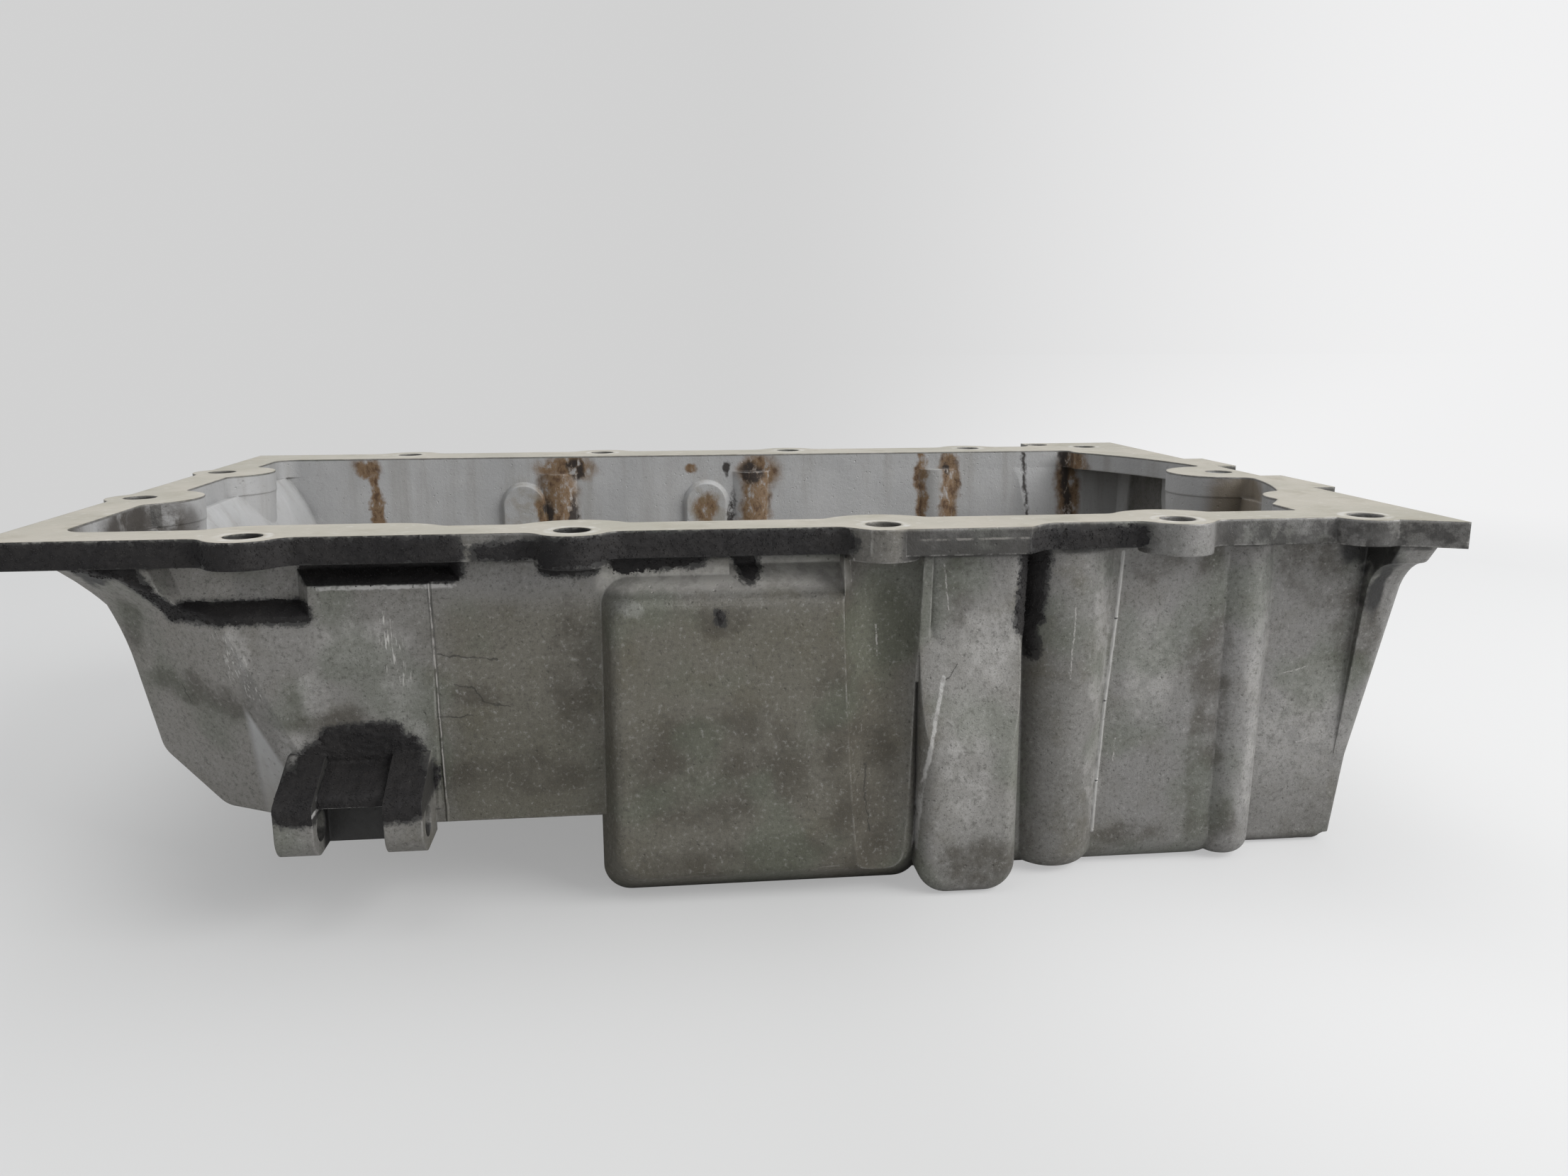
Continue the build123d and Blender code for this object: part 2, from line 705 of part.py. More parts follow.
with BuildPart() as drain_plug_washer:
    with BuildSketch(Plane.XZ.offset(-drain_face_y)):
        with Locations((drain_x, drain_z)):
            Circle(washer_d / 2)
            Circle(drain_thread_d / 2, mode=Mode.SUBTRACT)
    extrude(amount=-washer_t)
drain_plug_washer.part.label = "drain_plug_washer"

with BuildPart() as drain_plug:
    with BuildSketch(Plane.XZ.offset(-collar_face_y)):
        with Locations((drain_x, drain_z)):
            Circle(drain_thread_d / 2 - thread_clearance / 2)
    extrude(amount=washer_t + plug_shank)
    chamfer(drain_plug.edges().group_by(Axis.Y)[0], plug_chamfer)
    with BuildSketch(Plane.XZ.offset(-collar_face_y)):
        with Locations((drain_x, drain_z)):
            Circle(plug_collar_d / 2)
    extrude(amount=-plug_collar_t)
    with BuildSketch(Plane.XZ.offset(-collar_face_y - plug_collar_t)):
        with Locations((drain_x, drain_z)):
            RegularPolygon(plug_hex / 2, 6, major_radius=False)
    extrude(amount=-plug_hex_t)
    chamfer(drain_plug.faces().sort_by(Axis.Y)[-1].edges(), plug_chamfer)
drain_plug.part.label = "drain_plug"

os.makedirs("parts", exist_ok=True)
export_step(oil_pan.part, "parts/oil_pan.step")
export_step(drain_plug.part, "parts/drain_plug.step")
export_step(drain_plug_washer.part, "parts/drain_plug_washer.step")
for piece in (oil_pan, drain_plug, drain_plug_washer):
    print(piece.part.label, round(piece.part.volume), len(piece.part.solids()), piece.part.is_valid)
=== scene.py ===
"""Looks of a used cast aluminium oil pan: cast skin, machined flange, baked oil, steel drain plug."""
import math

import bmesh
import bpy
from mathutils import Matrix, Vector, noise
from mathutils.bvhtree import BVHTree


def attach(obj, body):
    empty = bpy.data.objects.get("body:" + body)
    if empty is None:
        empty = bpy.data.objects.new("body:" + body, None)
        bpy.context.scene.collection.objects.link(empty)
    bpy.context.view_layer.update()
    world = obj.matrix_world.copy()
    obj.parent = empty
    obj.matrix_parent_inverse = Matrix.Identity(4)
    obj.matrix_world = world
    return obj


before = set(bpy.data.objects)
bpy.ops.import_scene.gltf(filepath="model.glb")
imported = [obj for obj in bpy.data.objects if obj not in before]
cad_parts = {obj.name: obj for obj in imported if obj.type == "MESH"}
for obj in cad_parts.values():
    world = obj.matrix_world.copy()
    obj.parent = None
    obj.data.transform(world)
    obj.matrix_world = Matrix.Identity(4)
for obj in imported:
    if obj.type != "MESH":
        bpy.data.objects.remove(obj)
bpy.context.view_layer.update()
scene = bpy.context.scene
MM = 0.001

# --- Camera -----------------------------------------------------------------------------------------
SENSOR_MM = 36.0
IMAGE_W_PX = 2212
FOCAL_PX = 1700.0
CAMERA_AT = (-0.02113, -0.43493, 0.04940)
CAMERA_YAW, CAMERA_PITCH, CAMERA_ROLL = 0.111, 0.203, -0.002


def add_camera():
    """Camera low in front of the long wall, turned a little towards the gearbox end."""
    lens = bpy.data.cameras.new("camera")
    lens.sensor_width = SENSOR_MM
    lens.lens = SENSOR_MM * FOCAL_PX / IMAGE_W_PX
    lens.clip_start = 0.01
    camera = bpy.data.objects.new("camera", lens)
    scene.collection.objects.link(camera)
    ahead = Vector((
        math.sin(CAMERA_YAW) * math.cos(CAMERA_PITCH),
        math.cos(CAMERA_YAW) * math.cos(CAMERA_PITCH),
        -math.sin(CAMERA_PITCH),
    ))
    right = Vector((math.cos(CAMERA_YAW), -math.sin(CAMERA_YAW), 0.0))
    up = right.cross(ahead)
    turn = Matrix((
        right * math.cos(CAMERA_ROLL) + up * math.sin(CAMERA_ROLL),
        up * math.cos(CAMERA_ROLL) - right * math.sin(CAMERA_ROLL),
        -ahead,
    )).transposed().to_4x4()
    turn.translation = CAMERA_AT
    camera.matrix_world = turn
    scene.camera = camera


# --- Writing materials ------------------------------------------------------------------------------
class Wire:
    """A socket in a material. Arithmetic on it adds Math nodes."""

    def __init__(self, paint, socket):
        self.paint = paint
        self.socket = socket

    def math(self, operation, *values):
        return self.paint.add("ShaderNodeMath", {"operation": operation}, *values)

    def __add__(self, other):
        return self.math("ADD", self, other)

    def __sub__(self, other):
        return self.math("SUBTRACT", self, other)

    def __mul__(self, other):
        return self.math("MULTIPLY", self, other)

    def __rsub__(self, other):
        return self.math("SUBTRACT", other, self)

    def __truediv__(self, other):
        return self.math("DIVIDE", self, other)

    def __pow__(self, other):
        return self.math("POWER", self, other)

    __radd__ = __add__
    __rmul__ = __mul__

    def or_(self, other):
        return self.math("MAXIMUM", self, other)

    def nearest(self, other):
        return self.math("MINIMUM", self, other)

    def size(self):
        return self.math("ABSOLUTE", self)

    def step(self, low, high):
        """0 at low, 1 at high, smooth between. low may be the larger of the two."""
        settings = {"interpolation_type": "SMOOTHSTEP", "clamp": False}
        if low > high:
            return self.paint.add("ShaderNodeMapRange", settings, self, high, low, 1.0, 0.0)
        return self.paint.add("ShaderNodeMapRange", settings, self, low, high)

    def within(self, low, high, soft):
        """1 between low and high, fading over soft at both ends."""
        return self.step(low - soft, low + soft) * self.step(high + soft, high - soft)


class Paint:
    """A material and the one way its nodes are added."""

    def __init__(self, name):
        self.material = bpy.data.materials.new(name)
        self.material.use_nodes = True
        self.tree = self.material.node_tree
        self.tree.nodes.clear()
        self.origin = self.add("ShaderNodeTexCoord", {}, output="Object")
        self.place = self.vector("SCALE", self.origin, Scale=1 / MM)
        parts = self.node("ShaderNodeSeparateXYZ", {}, self.place)
        self.x, self.y, self.z = (Wire(self, parts.outputs[axis]) for axis in "XYZ")

    def node(self, kind, settings, *values, **named):
        node = self.tree.nodes.new(kind)
        for key, value in settings.items():
            setattr(node, key, value)
        filled = list(enumerate(values)) + [(key.replace("_", " "), value) for key, value in named.items()]
        for key, value in filled:
            socket = node.inputs[key]
            if isinstance(value, Wire):
                self.tree.links.new(value.socket, socket)
            elif value is not None:
                if socket.type == "RGBA" and len(value) == 3:
                    value = (*value, 1.0)
                socket.default_value = value
        return node

    def add(self, kind, settings, *values, output=0, **named):
        return Wire(self, self.node(kind, settings, *values, **named).outputs[output])

    def blend(self, amount, first, second):
        """Colours first and second, mixed by amount."""
        node = self.node("ShaderNodeMix", {"data_type": "RGBA"})
        for index, value in ((0, amount), (6, first), (7, second)):
            if isinstance(value, Wire):
                self.tree.links.new(value.socket, node.inputs[index])
            else:
                node.inputs[index].default_value = value if index == 0 else (*value, 1.0)
        return Wire(self, node.outputs[2])

    def cloud(self, size, detail=3.0, rough=0.55, stretch=(1, 1, 1), at=(0, 0, 0)):
        """Noise from 0 to 1 whose blobs are about size millimetres."""
        where = self.spread(tuple(s / size for s in stretch), at)
        return self.add("ShaderNodeTexNoise", {}, Vector=where, Scale=1.0, Detail=detail, Roughness=rough)

    def cells(self, size, at=(0, 0, 0)):
        """Distance from the middle of cells about size millimetres wide."""
        where = self.spread((1 / size,) * 3, at)
        return self.add("ShaderNodeTexVoronoi", {}, Vector=where, Scale=1.0, output="Distance")

    def spread(self, per_mm, at=(0, 0, 0), turn=(0, 0, 0)):
        """Where a texture is read: so many of its units per millimetre, turned, then moved."""
        return self.add("ShaderNodeMapping", {}, self.origin, at, turn, tuple(s / MM for s in per_mm))

    def vector(self, operation, *values, output="Vector", **named):
        return self.add("ShaderNodeVectorMath", {"operation": operation}, *values, output=output, **named)

    def warped(self, size, reach, at=(0, 0, 0), detail=3.0):
        """Object place in millimetres, pushed about by noise up to reach millimetres."""
        apart = (at[0] + 17, at[1] + 5, at[2])
        level = self.cloud(size, detail, at=at) - 0.5
        upright = self.cloud(size, detail, at=apart) - 0.5
        push = self.add("ShaderNodeCombineXYZ", {}, level, level, upright)
        return self.vector("MULTIPLY_ADD", push, (2 * reach,) * 3, self.place)

    def spots(self, where, places, axes="XZ"):
        """Greatest of several soft spots, each (across, up, half width, half height): 1 in the middle."""
        least = None
        for across, up, half_across, half_up in places:
            size = {"X": 0.0, "Y": 0.0, "Z": 0.0}
            shift = dict(size)
            size[axes[0]], shift[axes[0]] = 1 / half_across, -across / half_across
            size[axes[1]], shift[axes[1]] = 1 / half_up, -up / half_up
            local = self.vector("MULTIPLY_ADD", where, tuple(size.values()), tuple(shift.values()))
            away = self.vector("LENGTH", local, output="Value")
            least = away if least is None else least.nearest(away)
        return least.step(1.0, 0.5)

    def strips(self, where, runs):
        """Least distance on the near side to several strips, each ((x, z), (x, z), radius, radius)."""
        flat = self.vector("MULTIPLY", where, (1, 0, 1))
        nearest = None
        for (x0, z0), (x1, z1), r0, r1 in runs:
            along = Vector((x1 - x0, 0, z1 - z0))
            start = self.vector("SUBTRACT", flat, (x0, 0, z0))
            share = self.vector("DOT_PRODUCT", start, tuple(along / along.length_squared), output="Value")
            foot = self.vector("SCALE", tuple(along), Scale=self.add("ShaderNodeClamp", {}, share))
            edge = self.vector("DISTANCE", start, foot, output="Value")
            if r0 + r1 > 0:
                edge = edge - (r0 + r1) / 2
            nearest = edge if nearest is None else nearest.nearest(edge)
        return nearest

    def lines(self, where, width, runs):
        """Thin lines on the near side: each is a run of (x, z) points."""
        pairs = [(*pair, 0.0, 0.0) for run in runs for pair in zip(run, run[1:])]
        return self.strips(where, pairs).step(width, width * 0.35)

    def finish(self, colour, roughness, metallic, bump=None, relief=0.2, normal=None, gloss=0.5):
        """Closes the material with one Principled shader. bump times relief is a height in millimetres."""
        shader = self.node(
            "ShaderNodeBsdfPrincipled", {}, Base_Color=colour, Roughness=roughness, Metallic=metallic
        )
        shader.inputs["Specular IOR Level"].default_value = gloss
        if bump is not None:
            raised = self.add(
                "ShaderNodeBump", {}, Height=bump, Distance=relief * MM, Strength=1.0, Normal=normal
            )
            self.tree.links.new(raised.socket, shader.inputs["Normal"])
        output = self.tree.nodes.new("ShaderNodeOutputMaterial")
        self.tree.links.new(shader.outputs[0], output.inputs[0])
        return self.material


# --- Where the grime sits on the near side ----------------------------------------------------------
# Strips of baked oil and dirt: both ends (x, z) in millimetres, and half the strip's width at each end.
CRUST = (
    ((-187, -4.2), (-137, -4.2), 3.6, 3.6),
    ((-132, -4.2), (-74, -4.4), 3.7, 3.5),
    ((-66, -5.4), (-52, -4.6), 1.6, 2.6),
    ((-48, -4.4), (-35, -4.4), 3.6, 3.6),
    ((-32, -4.4), (30, -4.2), 3.7, 3.5),
    ((84, -4.6), (113, -4.6), 2.6, 3.3),
    ((-172, -9.4), (-157, -9.8), 1.3, 2.0),
    ((-157, -10.5), (-150.5, -20.5), 2.0, 2.6),
    ((-150, -21.6), (-114.5, -21.8), 2.5, 2.7),
    ((-111, -10.4), (-75, -10.6), 3.6, 3.4),
    ((-49, -10.6), (-38, -10.8), 2.3, 2.0),
    ((-29, -9.2), (-9, -8.6), 3.6, 2.0),
    ((4.5, -9), (5.5, -13), 3.4, 2.2),
    ((-3.2, -23.8), (-3.0, -25.6), 1.4, 1.2),
    ((85.5, -9), (84.4, -28), 4.4, 4.8),
    ((85, -30), (86.5, -38), 3.4, 1.4),
    ((-109, -57.5), (-94, -56.5), 3.5, 3.5),
    ((-112, -64), (-91, -62.5), 6.0, 6.0),
    ((-117, -69), (-87, -69), 5.6, 5.6),
)


# The flash bead down the big column, left by the joint of the mould, as (x, z).
BEAD = ((113.6, -10.5), (112.6, -30.0), (110.8, -55.0), (109.6, -80.0), (109.2, -96.0))
BEAD_STEP = 0.6

# The crust is a grid of points, STEP apart, from this corner.
STEP = 0.5
CRUST_X = -191.0
CRUST_Z = -0.35
CRUST_REACH = 2.6  # how far past a strip's edge the ragged crust may go
CRUST_THICKEST = 0.4
CRUST_FOLD = 4.0 * STEP  # a square that spans more than this from front to back is left open
SUNK = 0.12  # the crust's rim goes this far below the cast skin
NEAR_LIMIT = -0.095  # metres: what lies behind this isn't the near side


def strip_distance(x, z, strip):
    """Millimetres from a point to the edge of a strip, negative inside it."""
    (x0, z0), (x1, z1), r0, r1 = strip
    dx, dz = x1 - x0, z1 - z0
    along = max(0.0, min(1.0, ((x - x0) * dx + (z - z0) * dz) / (dx * dx + dz * dz)))
    return math.hypot(x - x0 - dx * along, z - z0 - dz * along) - (r0 + (r1 - r0) * along)


def crust_edges():
    """Distance to the nearest strip at each place of the crust's grid that lies near one."""
    edges = {}
    for strip in CRUST:
        (x0, z0), (x1, z1), r0, r1 = strip
        reach = max(r0, r1) + CRUST_REACH
        first_row = max(int((CRUST_Z - max(z0, z1) - reach) / STEP), 0)
        last_row = int((CRUST_Z - min(z0, z1) + reach) / STEP) + 1
        first_column = int((min(x0, x1) - reach - CRUST_X) / STEP)
        last_column = int((max(x0, x1) + reach - CRUST_X) / STEP) + 1
        for row in range(first_row, last_row):
            for column in range(first_column, last_column):
                edge = strip_distance(CRUST_X + column * STEP, CRUST_Z - row * STEP, strip)
                if edge < edges.get((row, column), CRUST_REACH):
                    edges[row, column] = edge
    return edges


def crust_depth(x, z, edge):
    """Thickness of the crust in millimetres, edge away from its strip; negative where there is none."""
    ragged = 1.1 * noise.fractal(Vector((x / 2.6, 4.2, z / 1.7)), 0.7, 2.0, 5)
    fine = 0.6 * noise.noise(Vector((x / 0.8, 7.7, z / 0.8)))
    inside = -(edge + ragged + fine)
    if inside < 0:
        return inside
    lumps = 0.55 + 0.55 * noise.fractal(Vector((x / 2.2, 1.3, z / 1.7)), 1.0, 2.0, 4)
    return min(inside * 0.35, CRUST_THICKEST) * max(0.2, lumps)


def skin_tree(node):
    """Search tree over a CAD node's mesh."""
    mesh = node.data
    return BVHTree.FromPolygons(
        [v.co.copy() for v in mesh.vertices], [tuple(p.vertices) for p in mesh.polygons]
    )


def link(name, mesh, material, body="root"):
    """Puts a finished mesh into the scene as a piece that rides on a body."""
    piece = bpy.data.objects.new(name, mesh)
    scene.collection.objects.link(piece)
    mesh.materials.clear()
    mesh.materials.append(material)
    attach(piece, body)
    return piece


def wall_point(skin, x, z):
    """Point and outward normal of the near side at x, z in millimetres, or None where it is open."""
    hit, normal, _, _ = skin.ray_cast(Vector((x * MM, -0.3, z * MM)), Vector((0, 1, 0)))
    if hit is None or hit.y > NEAR_LIMIT:
        return None
    return hit, normal if normal.y < 0 else Vector((0, -1, 0))


def crust_mesh(skin):
    """Baked oil and dirt on the near side, as a thin lumpy sheet that grows out of the cast wall."""
    built = bmesh.new()
    grid = {}
    for (row, column), edge in crust_edges().items():
        x, z = CRUST_X + column * STEP, CRUST_Z - row * STEP
        depth = crust_depth(x, z, edge)
        if depth < -STEP * 1.5:
            continue
        found = wall_point(skin, x, z)
        if found is None:
            continue
        hit, out = found
        rise = depth if depth > 0 else -SUNK
        grid[row, column] = (built.verts.new(hit + out * (rise * MM)), hit.y)
    for row, column in grid:
        around = ((row, column), (row + 1, column), (row + 1, column + 1), (row, column + 1))
        corners = [grid.get(key) for key in around]
        if any(corner is None for corner in corners):
            continue
        depths = [corner[1] for corner in corners]
        if max(depths) - min(depths) > CRUST_FOLD * MM:
            continue
        face = built.faces.new([corner[0] for corner in corners])
        face.smooth = True
    loose = [vertex for vertex in built.verts if not vertex.link_faces]
    bmesh.ops.delete(built, geom=loose, context="VERTS")
    mesh = bpy.data.meshes.new("grime_crust")
    built.to_mesh(mesh)
    built.free()
    return mesh


def crumb_tree(material):
    """Geometry nodes that scatter small crumbs over a surface and keep only the crumbs."""
    tree = bpy.data.node_groups.new("grime_crumbs", "GeometryNodeTree")
    sockets = {}
    for name, kind in (
        ("Geometry", "NodeSocketGeometry"),
        ("Crumbs per m2", "NodeSocketFloat"),
        ("Smallest", "NodeSocketFloat"),
        ("Largest", "NodeSocketFloat"),
        ("Seed", "NodeSocketInt"),
    ):
        sockets[name] = tree.interface.new_socket(name, in_out="INPUT", socket_type=kind).identifier
    tree.interface.new_socket("Geometry", in_out="OUTPUT", socket_type="NodeSocketGeometry")
    node, wire = tree.nodes.new, tree.links.new
    given, result = node("NodeGroupInput"), node("NodeGroupOutput")
    spread = node("GeometryNodeDistributePointsOnFaces")
    wire(given.outputs["Geometry"], spread.inputs["Mesh"])
    wire(given.outputs["Crumbs per m2"], spread.inputs["Density"])
    wire(given.outputs["Seed"], spread.inputs["Seed"])
    crumb = node("GeometryNodeMeshIcoSphere")
    crumb.inputs["Radius"].default_value = 1.0
    crumb.inputs["Subdivisions"].default_value = 1
    size = node("FunctionNodeRandomValue")
    size.data_type = "FLOAT"
    wire(given.outputs["Smallest"], size.inputs[2])
    wire(given.outputs["Largest"], size.inputs[3])
    wire(given.outputs["Seed"], size.inputs["Seed"])
    turn = node("FunctionNodeRandomValue")
    turn.data_type = "FLOAT_VECTOR"
    turn.inputs[1].default_value = (6.28, 6.28, 6.28)
    place = node("GeometryNodeInstanceOnPoints")
    wire(spread.outputs["Points"], place.inputs["Points"])
    wire(crumb.outputs["Mesh"], place.inputs["Instance"])
    wire(size.outputs[1], place.inputs["Scale"])
    wire(turn.outputs[0], place.inputs["Rotation"])
    real = node("GeometryNodeRealizeInstances")
    wire(place.outputs[0], real.inputs[0])
    paint = node("GeometryNodeSetMaterial")
    paint.inputs["Material"].default_value = material
    wire(real.outputs[0], paint.inputs["Geometry"])
    wire(paint.outputs[0], result.inputs[0])
    return tree, sockets


def crumb_mesh(ground, material):
    """Crumbs of dirt on a sheet, as one plain mesh."""
    tree, sockets = crumb_tree(material)
    holder = bpy.data.objects.new("crumb_holder", ground.copy())
    scene.collection.objects.link(holder)
    scatter = holder.modifiers.new("crumbs", "NODES")
    scatter.node_group = tree
    sizes = {"Crumbs per m2": 1.1e6, "Smallest": 0.08 * MM, "Largest": 0.3 * MM, "Seed": 7}
    for name, value in sizes.items():
        scatter[sockets[name]] = value
    placed = holder.evaluated_get(bpy.context.evaluated_depsgraph_get())
    mesh = bpy.data.meshes.new_from_object(placed)
    mesh.name = "grime_crumbs"
    bpy.data.objects.remove(holder)
    return mesh


def bead_mesh(skin):
    """Thin flash bead down the big column, left by the joint of the mould."""
    built = bmesh.new()
    rows = []
    for (x0, z0), (x1, z1) in zip(BEAD, BEAD[1:]):
        count = int(abs(z1 - z0) / BEAD_STEP)
        for step in range(count + 1):
            part = step / count
            x, z = x0 + (x1 - x0) * part, z0 + (z1 - z0) * part
            x += 0.22 * noise.noise(Vector((1.7, 3.1, z / 4.0)))
            found = wall_point(skin, x, z)
            if found is None:
                continue
            hit, out = found
            side = out.cross(Vector((0, 0, 1))).normalized()
            half = (0.34 + 0.14 * noise.noise(Vector((5.1, 0.4, z / 2.2)))) * MM
            tall = (0.3 + 0.16 * noise.noise(Vector((8.3, 2.2, z / 1.7)))) * MM
            rows.append([
                built.verts.new(hit + side * (half * across) + out * (tall * up - 0.08 * MM))
                for across, up in ((-1.6, 0.0), (-0.6, 0.9), (0.5, 1.0), (1.5, 0.0))
            ])
    for first, second in zip(rows, rows[1:]):
        for index in range(3):
            face = built.faces.new((first[index], first[index + 1], second[index + 1], second[index]))
            face.smooth = True
    bmesh.ops.recalc_face_normals(built, faces=built.faces)
    mesh = bpy.data.meshes.new("flash_bead")
    built.to_mesh(mesh)
    built.free()
    return mesh


# --- Materials --------------------------------------------------------------------------------------
# Lines on the near side, each a run of (x, z) points in millimetres.
HAIRLINES = (
    ((-79.5, -34), (-73, -35.2), (-64, -36)),
    ((-80.5, -52), (-76, -52.6), (-71.5, -51.8)),
    ((-76, -43), (-71, -44), (-68, -48), (-61, -50)),
    ((38.2, -69), (37.8, -79), (39.6, -89)),
    ((59.9, -44), (63, -39.5)),
    ((-152, -44), (-150, -50)),
)
SCRATCHES = (
    ((166.8, -50), (175.5, -47.6)),
    ((175.6, -72.7), (182, -70.7)),
    ((58.8, -11), (60.4, -24)),
    ((33.2, -8.5), (33.6, -16)),
    ((114.6, -67), (114.2, -74)),
    ((41.2, -29), (41.5, -38)),
    ((98, -25), (97.4, -46)),
    ((86.5, -10), (85.5, -14)),
)
# Painted highlights along lit ledges: the pad's left edge, the ledge under the relief pocket and the
# clevis's front edge.
HIGHLIGHT_LINES = (
    ((59.2, -43), (56.5, -56), (53.2, -75), (52.0, -94)),
    ((-111.5, -15.0), (-74.0, -15.2)),
    ((-111.0, -72.4), (-93.0, -72.2)),
)
# Places where the rub marks run, as strips like those of the crust.
STREAKED = (
    ((-139, -24), (-129, -44), 2.4, 3.0),
    ((-94, -24), (-90, -40), 2.0, 3.0),
)
# Dark smudges and painted shade, worn pale places and painted highlights, and soot and painted shade on the
# near side, as (x, z, half width, half height).
SMUDGES_AND_SHADE = (
    (-138, -48, 13, 7), (-150, -46, 7, 5), (-44, -41, 9, 24), (-44, -26, 8, 10), (-2, -25, 10, 6),
    (-60, -70, 30, 8), (-70, -46, 8, 5), (70, -97, 16, 10), (8, -95, 44, 9), (40, -72, 9, 22),
    (46, -30, 7, 16), (140, -34, 6, 30), (124, -14, 11, 7), (141, -76, 5, 34), (178, -18, 14, 14),
    (188, -38, 9, 22), (-102, -53, 22, 6), (120, -98, 16, 5), (148, -92, 7, 10), (-4, -68, 36, 24),
    (30, -56, 10, 26), (-118, -50, 6, 8), (36, -88, 12, 20), (62, -18, 6, 14), (140, -14, 6, 16),
    (168, -15, 8, 12), (144, -60, 6, 50), (-152, -44, 14, 6), (-164, -26, 5, 12),
)
# Worn pale places, and painted highlights down the lit right flanks of the columns at x 107.5 and 157.
PALE_AND_LIT = (
    (-132, -31, 4.5, 10), (-92, -46, 9, 9), (-88, -56, 6, 7), (-113, -45, 5, 9), (-28, -21.6, 6, 3),
    (72, -34, 9, 16), (-120, -60, 6, 7), (-100, -30, 16, 8), (124, -46, 10, 22), (176, -70, 20, 30),
    (66, -66, 9, 26), (107.5, -32, 4.5, 40), (108, -76, 4, 26), (156.5, -34, 5, 36), (157, -74, 4, 26),
    (172, -86, 26, 14),
)
# Painted shade in the web corner at the gearbox end (the first two), and soot below the flange at the far
# left.
SOOT_AND_SHADE = ((186, -12, 7, 6), (191, -22, 4, 13), (-168, -13, 5, 3))
# Stains on the inside of the far wall, and a film on its round pads, in the same terms.
BROWN = (
    (-141, -4, 8, 5), (-138, -22, 3.2, 34), (-58, -5, 17, 7), (-61, -22, 11, 34), (27, -8, 12, 11),
    (25, -26, 9, 40), (100.5, -20, 3.4, 40), (113, -18, 6, 40), (168, -20, 7, 34), (-68, -24, 4, 9),
    (3, -24, 7, 9), (-3, -6, 4, 3),
)
BLACK = (
    (-64.4, -28, 2.4, 13), (-54.5, -28, 3.4, 14), (-53, -6, 4, 6), (24, -8, 6, 7), (14.8, -30, 2.2, 18),
    (111.8, -7.5, 2.4, 3.4), (12.6, -6, 2.6, 5),
)
PADS = ((-75.5, -30, 13, 26), (3.5, -30, 13, 26))
# Stripes, as (middle, half width, softness).
BLACK_RUNS = ((146.5, 0.8, 0.7), (165.5, 1.8, 1.0))
WIPED_RIM = ((38.5, 7, 1.5), (126, 9, 2.0), (-67, 5, 2.0), (-134, 1.6, 0.8))
RIM_LINES = ((-65, 15, 3), (68, 17, 2), (103, 11, 2))
# Grime on the inside of both ends, as (y, z, half width, half height).
FRONT_GRIME = ((-54, -9, 30, 15), (-98, -14, 16, 26))
REAR_GRIME = ((-20, -12, 18, 18),)
BOLT_X = (-126.0, -42.0, 42.0, 126.0, 182.0)
BOLT_Y = 113.75
PARTING_X = -80.9


def stripe(wave, places):
    """Greatest of several stripes: each is (middle, half width, softness)."""
    mask = None
    for middle, half, soft in places:
        one = (wave - middle).size().step(half + soft, half - soft)
        mask = one if mask is None else mask.or_(one)
    return mask


def bend_of(p, reach):
    """Softened normal, and how sharply the surface turns within reach millimetres."""
    soft = p.add("ShaderNodeBevel", {"samples": 6}, reach * MM)
    flat = p.add("ShaderNodeNewGeometry", {}, output="True Normal")
    return soft, 1.0 - p.vector("DOT_PRODUCT", soft, flat, output="Value")


